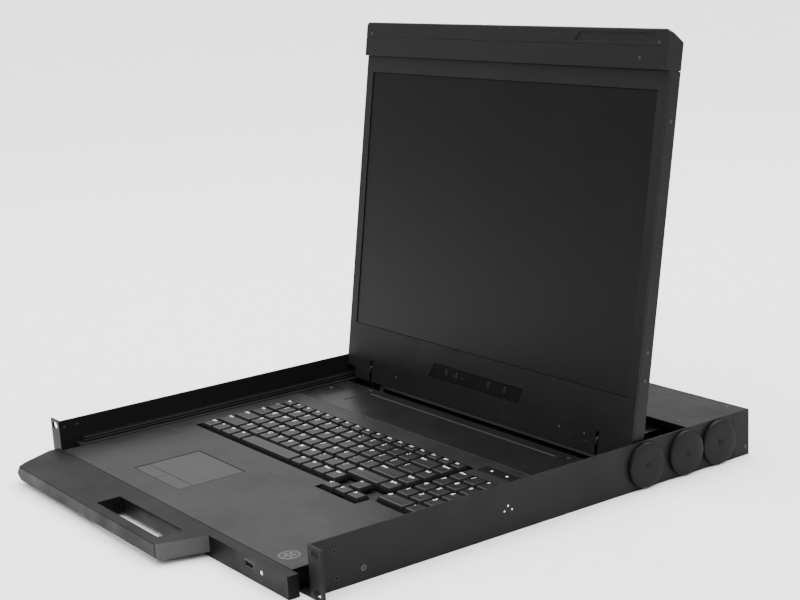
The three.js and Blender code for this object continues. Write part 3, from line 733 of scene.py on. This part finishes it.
def make_handle():
    """The front moulding: a round underside and corners, and a tip that swells at its left."""
    bm = cleaned_copy("front_handle")
    bmesh.ops.bisect_plane(
        bm, geom=[*bm.verts, *bm.edges, *bm.faces], plane_co=(0, 0, HANDLE_WAIST), plane_no=(0, 0, 1)
    )
    tip = at(-185, -45, 0)
    for vert in bm.verts:
        at_waist = abs(vert.co.z - HANDLE_WAIST) < 1e-5
        if at_waist and vert.co.x < tip.x and vert.co.y < tip.y:
            vert.co += Vector((-6.5, 0, -1)) * MM
    layer = bm.edges.layers.float.new("bevel_weight_edge")
    for edge in bm.edges:
        edge[layer] = handle_edge_weight(edge)
    # Faces turned to the right outside the grip take a lighter colour: partly wear, partly painted light on the
    # side that faces the lamps.
    for face in bm.faces:
        if face.normal.x > 0.8 and face.calc_center_median().y < HANDLE_FACE:
            in_grip = face.calc_center_median().x < at(75, 0, 0).x
            face.material_index = 0 if in_grip else 1
    piece = new_piece(
        "front_handle_fine", bm, ["handle_black", "handle_wear_and_painted_light"], "drawer",
        ["front_handle"],
    )
    bevel(piece, 3.2 * MM, 5, weighted=True)
    bevel(piece, 0.35 * MM, 2, angle=40)
    even_normals(piece)


def make_deck_marks():
    deck = DECK_TOP / MM
    bm = bmesh.new()
    label = facing(at(179.7, 9.5, deck), (0, 0, 1))
    lathe(bm, [(10 * MM, 0), (10 * MM, 0.1 * MM), (9.7 * MM, 0.16 * MM)], label, 64, 0)
    lathe(bm, [(8.6 * MM, 0.16 * MM), (8.5 * MM, 0.2 * MM)], label, 64, 1)
    lathe(bm, [(7.9 * MM, 0.2 * MM), (7.8 * MM, 0.24 * MM)], label, 64, 0)
    for i in range(5):
        turn = math.radians(20 + 72 * i)
        spot = label @ Matrix.Rotation(turn, 4, "Z") @ Matrix.Translation((3.6 * MM, 0, 0.24 * MM))
        add_box(bm, (-1.8 * MM, -0.7 * MM, -0.05 * MM), (1.8 * MM, 0.7 * MM, 0.03 * MM), spot, 1)
    new_piece("round_label", bm, ["label_film", "label_mark"], "drawer", smooth=False)

    # Two deck slots and a groove in the handle's top, as thin boxes painted dark as the shade in them.
    bm = bmesh.new()
    for y in (281.5, 286.5):
        add_box(bm, at(-197, y, deck - 0.4), at(-175, y + 1.6, deck + 0.03))
    handle_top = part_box("front_handle")[1].z / MM
    add_box(bm, at(-122, -23.2, handle_top - 0.4), at(-63, -22.8, handle_top + 0.02))
    piece = new_piece("deck_slots", bm, ["black_and_painted_shade"], "drawer", smooth=False)
    bevel(piece, 0.2 * MM, 2)

    bm = bmesh.new()
    pane_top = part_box("indicator_window")[1].z / MM
    for x in (137.6, 158.4, 179):
        place = facing(at(x, 248.2, pane_top), (0, 0, 1))
        lathe(bm, [(1.3 * MM, 0), (1.3 * MM, 0.1 * MM), (1.0 * MM, 0.22 * MM)], place, 24)
    new_piece("window_leds", bm, ["led_white"], "drawer", smooth=False)


def make_pad_outline():
    """The gap all round the touchpad and its buttons, as thin strips painted dark as its shade."""
    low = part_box("touchpad")[0]
    low.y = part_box("pad_button_left")[0].y
    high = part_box("touchpad")[1]
    thick, over = 0.75 * MM, 0.02 * MM
    z0, z1 = DECK_TOP - 1 * MM, DECK_TOP + over
    bm = bmesh.new()
    add_box(bm, (low.x - thick, low.y - thick, z0), (low.x - over, high.y + thick, z1))
    add_box(bm, (high.x + over, low.y - thick, z0), (high.x + thick, high.y + thick, z1))
    add_box(bm, (low.x - over, low.y - thick, z0), (high.x + over, low.y - over, z1))
    add_box(bm, (low.x - over, high.y + over, z0), (high.x + over, high.y + thick, z1))
    new_piece("pad_outline", bm, ["black_and_painted_shade"], "drawer", smooth=False)


def make_trough():
    """The dark wall and strip of floor under the lid's foot, behind the hinge cover: dark sheets put there as
    painted shade.
    """
    bm = bmesh.new()
    add_box(bm, at(-168, 347, 4.9), at(168, 348.2, 14.5))
    add_box(bm, at(-168, 341, 4.9), at(168, 347.2, 6.1))
    wall = new_piece("hinge_trough_shade_sheets", bm, ["dark_inside_and_painted_shade"], "drawer", smooth=False)
    bevel(wall, 0.3 * MM)


def make_drawer():
    make_handle()
    make_trough()
    refine("deck_plate", "deck_paint", 0.2 * MM)
    refine("hinge_cover", "hinge_paint", 0.3 * MM, 2)
    refine("drawer_pan", "dark_inside_and_painted_shade")
    refine("keyboard_base", "black_plastic")
    refine("touchpad", "pad_plastic", 0.35 * MM, 3)
    refine("pad_button_left", "pad_plastic", 0.3 * MM, 3)
    refine("pad_button_right", "pad_plastic", 0.3 * MM, 3)
    refine("indicator_window", "screen_surface", 0.3 * MM, 3)
    refine("usb_socket", "socket_steel", 0.2 * MM)
    refine("status_led", "indicator_lens", 0.4 * MM, 3)
    low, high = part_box("usb_socket")
    bm = bmesh.new()
    middle = (low.z + high.z) / 2
    add_box(
        bm,
        (low.x + 1.7 * MM, low.y + 0.8 * MM, middle + 0.3 * MM),
        (high.x - 1.7 * MM, high.y - 1.4 * MM, middle + 1.9 * MM),
    )
    tongue = new_piece("usb_tongue", bm, ["black_plastic"], "drawer", smooth=False)
    bevel(tongue, 0.2 * MM)
    for side in ("left", "right"):
        refine(f"inner_rail_{side}", "black_steel", 0.3 * MM)
        refine(f"hinge_bracket_{side}", "black_steel", 0.25 * MM)
        refine(f"mid_rail_{side}", "black_steel", 0.3 * MM)
        refine(f"outer_rail_{side}", "black_steel", 0.3 * MM)
    make_deck_marks()
    make_pad_outline()


# ---------------------------------------------------------------- lid
def lid_box(bm, low, high):
    """A box given in lid millimetres: across, back from the bezel's face, up from the lid's edge."""
    add_box(bm, Vector(low) * MM, Vector(high) * MM, LID)


def band_cutter():
    """The band's groove, its badge recess and its chamfered top corners."""
    bm = bmesh.new()
    face = -4
    lid_box(bm, (-221, face - 1, 361), (221, face + 0.5, 361.6))
    recess = [(104, 364.6), (110, 372.4), (205, 372.4), (205, 364.6)]
    rings = []
    for depth in (face - 1, face + 0.9):
        rings.append([LID @ (Vector((x, depth, z)) * MM) for x, z in recess])
    loft(bm, rings)
    for side in (-1, 1):
        corner = LID @ Matrix.Translation((side * 220 * MM, 0, BAND_TOP))
        turned = corner @ Matrix.Rotation(math.radians(45), 4, "Y")
        half = 2.1 * MM
        add_box(bm, (-half, -20 * MM, -half), (half, 20 * MM, half), turned)
    return bm


def make_lid():
    refine("lid_band", "black_paint", 0.35 * MM, 3, band_cutter())
    refine("lid_bezel", "black_paint", 0.3 * MM)
    refine("lid_back_cover", "black_paint", 0.4 * MM)
    refine("screen_glass", "screen_surface", 0.25 * MM)
    refine("lcd_panel", "panel_body", 0.4 * MM)
    refine("osd_panel", "dark_inside_and_painted_shade", 0.25 * MM)
    for i in range(1, 5):
        refine(f"osd_button_{i}", "black_plastic", 0.35 * MM, 3)
    for side in ("left", "right"):
        refine(f"hinge_arm_{side}", "black_steel", 0.3 * MM)
    bm = bmesh.new()
    for side in (-1, 1):
        low, high = sorted((side * 215, side * 219.4))
        lid_box(bm, (low, 0.4, 336), (high, 12.5, 350))
    new_piece("lid_inner_lip", bm, ["black_paint"], "lid", smooth=False)
    bm = bmesh.new()
    for x, z in ((-47, 36.6), (-36, 32.8), (-31, 36.6), (-21.5, 32.8), (19, 36.6), (44, 36.6)):
        lid_box(bm, (x - 0.7, 0.3, z - 0.35), (x + 0.7, 0.5, z + 0.35))
    new_piece("osd_marks", bm, ["label_mark"], "lid", smooth=False)
    bm = bmesh.new()
    for x0, x1, z0, z1 in ((-150, 150, 90, 92), (-150, 150, 298, 300)):
        lid_box(bm, (x0, 14.3, z0), (x1, 14.75, z1))
    for x0, x1 in ((-150, -148), (148, 150)):
        lid_box(bm, (x0, 14.3, 92), (x1, 14.75, 298))
    rib = new_piece("lid_back_rib", bm, ["black_paint"], "lid", smooth=False)
    bevel(rib, 0.35 * MM)


# ---------------------------------------------------------------- chassis and rear
def make_disc(node):
    """A round pressed cover with a rolled edge and a centre rivet."""
    low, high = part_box(node)
    side = 1 if low.x > 0 else -1
    root = low.x if side > 0 else high.x
    centre = Vector((root, (low.y + high.y) / 2, (low.z + high.z) / 2))
    radius, proud = (high.z - low.z) / 2, high.x - low.x
    profile = [
        (radius, 0),
        (radius, proud * 0.62),
        (radius - 0.25 * MM, proud * 0.8),
        (radius - 0.7 * MM, proud * 0.92),
        (radius - 1.4 * MM, proud * 0.97),
        (radius * 0.5, proud * 0.97),
        (2.6 * MM, proud * 0.96),
        (2.5 * MM, proud * 0.84),
        (2.0 * MM, proud * 0.84),
        (1.8 * MM, proud * 0.95),
        (0.6 * MM, proud),
    ]
    bm = bmesh.new()
    lathe(bm, profile, facing(centre, (side, 0, 0)), 96)
    piece = new_piece(node + "_fine", bm, ["disc_paint"], "chassis", [node])
    piece.data.set_sharp_from_angle(angle=math.radians(35))


D_SLANT = 0.8 * MM
SOCKET_FACE = REAR - 1.9 * MM
SOCKET_DEPTH = 13 * MM
PIN_PITCH = 2.3 * MM
PIN_ROW = 1.9 * MM
JACK_OFFSET = 12.2 * MM


def d_ring(cx, cz, half_width, half_height, y):
    """A D-shaped outline in a plane that faces the rear."""
    left, right = cx - half_width, cx + half_width
    low, high = cz - half_height, cz + half_height
    flat = rounded_ring(left, right, low, high, 0, half_height * 0.55, 3)
    ring = []
    for p in flat:
        lean = D_SLANT * (p.y - cz) / half_height
        ring.append(Vector((p.x + (lean if p.x > cx else -lean), y, p.y)))
    return ring


def add_d_socket(bm, x, z):
    """A 15-way socket: flange, metal D shell, insert with three rows of holes, two jack screws."""
    face = SOCKET_FACE
    back = REAR - SOCKET_DEPTH
    add_box(bm, (x - 15 * MM, back, z - 6 * MM), (x + 15 * MM, face, z + 6 * MM), material=0)
    half_w, half_h = 8.3 * MM, 4.1 * MM
    wall = 0.5 * MM
    rings = [
        d_ring(x, z, half_w, half_h, face - 0.1 * MM),
        d_ring(x, z, half_w, half_h, REAR - 0.3 * MM),
        d_ring(x, z, half_w - wall, half_h - wall, REAR - 0.3 * MM),
        d_ring(x, z, half_w - wall, half_h - wall, face + 0.1 * MM),
    ]
    loft(bm, rings, 0)
    insert = [
        d_ring(x, z, half_w - 2 * wall, half_h - 2 * wall, face - 0.05 * MM),
        d_ring(x, z, half_w - 2 * wall, half_h - 2 * wall, REAR - 0.9 * MM),
    ]
    loft(bm, insert, 1)
    # The insert's holes are flat discs painted dark as their shade.
    for row in (-1, 0, 1):
        for i in range(5):
            across = x + (i - 2 + 0.25 * row) * PIN_PITCH
            place = Vector((across, REAR - 0.92 * MM, z + row * PIN_ROW))
            lathe(bm, [(0.42 * MM, 0), (0.4 * MM, 0.05 * MM)], facing(place, (0, 1, 0)), 10, 2)
    for side in (-1, 1):
        # The jack screws' holes are discs painted dark as their shade.
        place = facing(Vector((x + side * JACK_OFFSET, face, z)), (0, 1, 0))
        lathe(bm, [(2.5 * MM, 0), (2.5 * MM, 1.2 * MM), (2.1 * MM, 1.6 * MM)], place, 6, 0)
        lathe(bm, [(1.3 * MM, 1.6 * MM), (1.25 * MM, 1.63 * MM)], place, 16, 2)


def make_rear_ports():
    low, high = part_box("host_port_bank")
    z = (low.z + high.z) / 2
    count = 8
    first, last = low.x + 15 * MM, high.x - 15 * MM
    bm = bmesh.new()
    add_box(bm, (low.x, REAR - 13.2 * MM, low.z + 1 * MM), (high.x, REAR - 5 * MM, high.z - 1 * MM))
    for i in range(count):
        add_d_socket(bm, first + (last - first) * i / (count - 1), z)
    names = ["bare_steel", "port_blue", "black_and_painted_shade"]
    piece = new_piece(
        "host_ports_fine", bm, names, "chassis", ["host_port_bank"], smooth=False
    )
    bevel(piece, 0.12 * MM, 1, 50)

    low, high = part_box("console_port_block")
    middle = (low.x + high.x) / 2
    bm = bmesh.new()
    add_box(bm, low, Vector((high.x, SOCKET_FACE, high.z)), material=2)
    add_d_socket(bm, low.x + 15.3 * MM, z)
    for i in range(2):
        x = middle + (6 + 15 * i) * MM
        y0, y1 = REAR - 2 * MM, REAR - 0.3 * MM
        wide, narrow = 6.6 * MM, 6.0 * MM
        tall, short = 3.3 * MM, 2.7 * MM
        add_box(bm, (x - wide, y0, z - tall), (x + wide, y1, z - short))
        add_box(bm, (x - wide, y0, z + short), (x + wide, y1, z + tall))
        add_box(bm, (x - wide, y0, z - short), (x - narrow, y1, z + short))
        add_box(bm, (x + narrow, y0, z - short), (x + wide, y1, z + short))
        add_box(bm, (x - 5 * MM, y0, z), (x + 5 * MM, y1 - 0.4 * MM, z + 1.6 * MM), material=1)
    piece = new_piece(
        "console_ports_fine", bm, names, "chassis", ["console_port_block"], smooth=False
    )
    bevel(piece, 0.12 * MM, 1, 50)

    low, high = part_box("power_inlet")
    x, z = (low.x + high.x) / 2, (low.z + high.z) / 2
    bm = bmesh.new()
    for dx, dz in ((-7, -1.5), (0, 2.5), (7, -1.5)):
        px, pz = x + dx * MM, z + dz * MM
        add_box(
            bm,
            (px - 1 * MM, low.y + 3.5 * MM, pz - 2 * MM),
            (px + 1 * MM, REAR - 4 * MM, pz + 2 * MM),
        )
    pins = new_piece("inlet_pins", bm, ["bare_steel"], "chassis", smooth=False)
    bevel(pins, 0.4 * MM, 3)


def cover_cutter():
    """The cutter for four small notches in the rear cover's rear edge."""
    bm = bmesh.new()
    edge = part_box("rear_cover")[1].y
    for x in (165.8, 191.3, -165.8, -191.3):
        add_box(
            bm,
            (x * MM - 1.8 * MM, edge - 1.2 * MM, CHASSIS_TOP - 2 * MM),
            (x * MM + 1.8 * MM, edge + 1 * MM, CHASSIS_TOP + 1 * MM),
        )
    return bm


def make_board_parts():
    """Chips and capacitors on the switch board."""
    low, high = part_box("switch_board")
    bm = bmesh.new()
    for i in range(5):
        x = low.x + (40 + 60 * i) * MM
        y = low.y + 20 * MM
        add_box(bm, (x, y, high.z), (x + 14 * MM, y + 14 * MM, high.z + 1.8 * MM), material=0)
        for k in range(3):
            place = facing(Vector((x + (22 + 8 * k) * MM, y + 5 * MM, high.z)), (0, 0, 1))
            lathe(bm, [(2.6 * MM, 0), (2.6 * MM, 5 * MM), (2.3 * MM, 5.4 * MM)], place, 20, 1)
    new_piece(
        "board_parts", bm, ["black_plastic", "bare_steel"], "chassis", smooth=False
    )


def make_chassis():
    refine("chassis_pan", "black_paint", 0.35 * MM)
    refine("rear_panel", "black_paint", 0.35 * MM)
    refine("rear_cover", "cover_paint", 0.35 * MM, 2, cover_cutter())
    refine("rear_bulkhead", "zinc_plate_painted_light", 0.3 * MM)
    refine("switch_board", "circuit_board", 0.2 * MM)
    refine("power_supply", "bare_steel", 0.6 * MM)
    refine("power_inlet", "black_plastic", 0.4 * MM, 3)
    refine("power_rocker", "black_plastic", 0.5 * MM, 3)
    for side in ("left", "right"):
        for i in (1, 2, 3):
            make_disc(f"side_disc_{side}_{i}")
    make_rear_ports()
    make_board_parts()


# ---------------------------------------------------------------- stage and light
FLOOR_HALF = 60.0
HORIZON_LIGHT = 0.3
CEILING_LIGHT = 3.9
FADE_START = 0.12
FADE_END = 0.8


def make_stage():
    floor_material = surface("floor", grey(0.82), 0.8, 60, 0.05, 0.01, specular=0.1)
    bm = bmesh.new()
    corners = [(x * FLOOR_HALF, y * FLOOR_HALF, 0) for x, y in ((-1, -1), (1, -1), (1, 1), (-1, 1))]
    bm.faces.new([bm.verts.new(c) for c in corners])
    mesh = bpy.data.meshes.new("floor")
    bm.to_mesh(mesh)
    bm.free()
    mesh.materials.append(floor_material)
    floor = bpy.data.objects.new("floor", mesh)
    bpy.context.scene.collection.objects.link(floor)


def add_light(name, place, target, size, power):
    data = bpy.data.lights.new(name, "AREA")
    data.shape = "RECTANGLE"
    data.size, data.size_y = size
    data.energy = power
    light = bpy.data.objects.new(name, data)
    place, target = Vector(place), Vector(target)
    turn = (place - target).to_track_quat("Z", "Y").to_matrix().to_4x4()
    light.matrix_world = Matrix.Translation(place) @ turn
    bpy.context.scene.collection.objects.link(light)


def make_light():
    """A bright ceiling that fades towards the horizon, and two softboxes."""
    world = bpy.data.worlds.new("studio")
    world.use_nodes = True
    tree = world.node_tree
    direction = tree.nodes.new("ShaderNodeTexCoord").outputs["Generated"]
    height = tree.nodes.new("ShaderNodeSeparateXYZ")
    fade = tree.nodes.new("ShaderNodeMapRange")
    fade.interpolation_type = "SMOOTHSTEP"
    fade.inputs["From Min"].default_value = FADE_START
    fade.inputs["From Max"].default_value = FADE_END
    fade.inputs["To Min"].default_value = HORIZON_LIGHT
    fade.inputs["To Max"].default_value = CEILING_LIGHT
    background = tree.nodes["Background"]
    background.inputs["Color"].default_value = (1, 1, 1, 1)
    tree.links.new(direction, height.inputs["Vector"])
    tree.links.new(height.outputs["Z"], fade.inputs["Value"])
    tree.links.new(fade.outputs["Result"], background.inputs["Strength"])
    bpy.context.scene.world = world
    add_light("top_softbox", (-0.4, 0.5, 2.4), (0, 0, 0.1), (2.4, 1.8), 60)
    add_light("front_softbox", (1.9, -1.2, 1.5), (0, 0, 0.15), (1.2, 0.9), 5)


make_chassis()
make_drawer()
make_keyboard()
make_lid()
make_screws()
make_stage()
make_light()
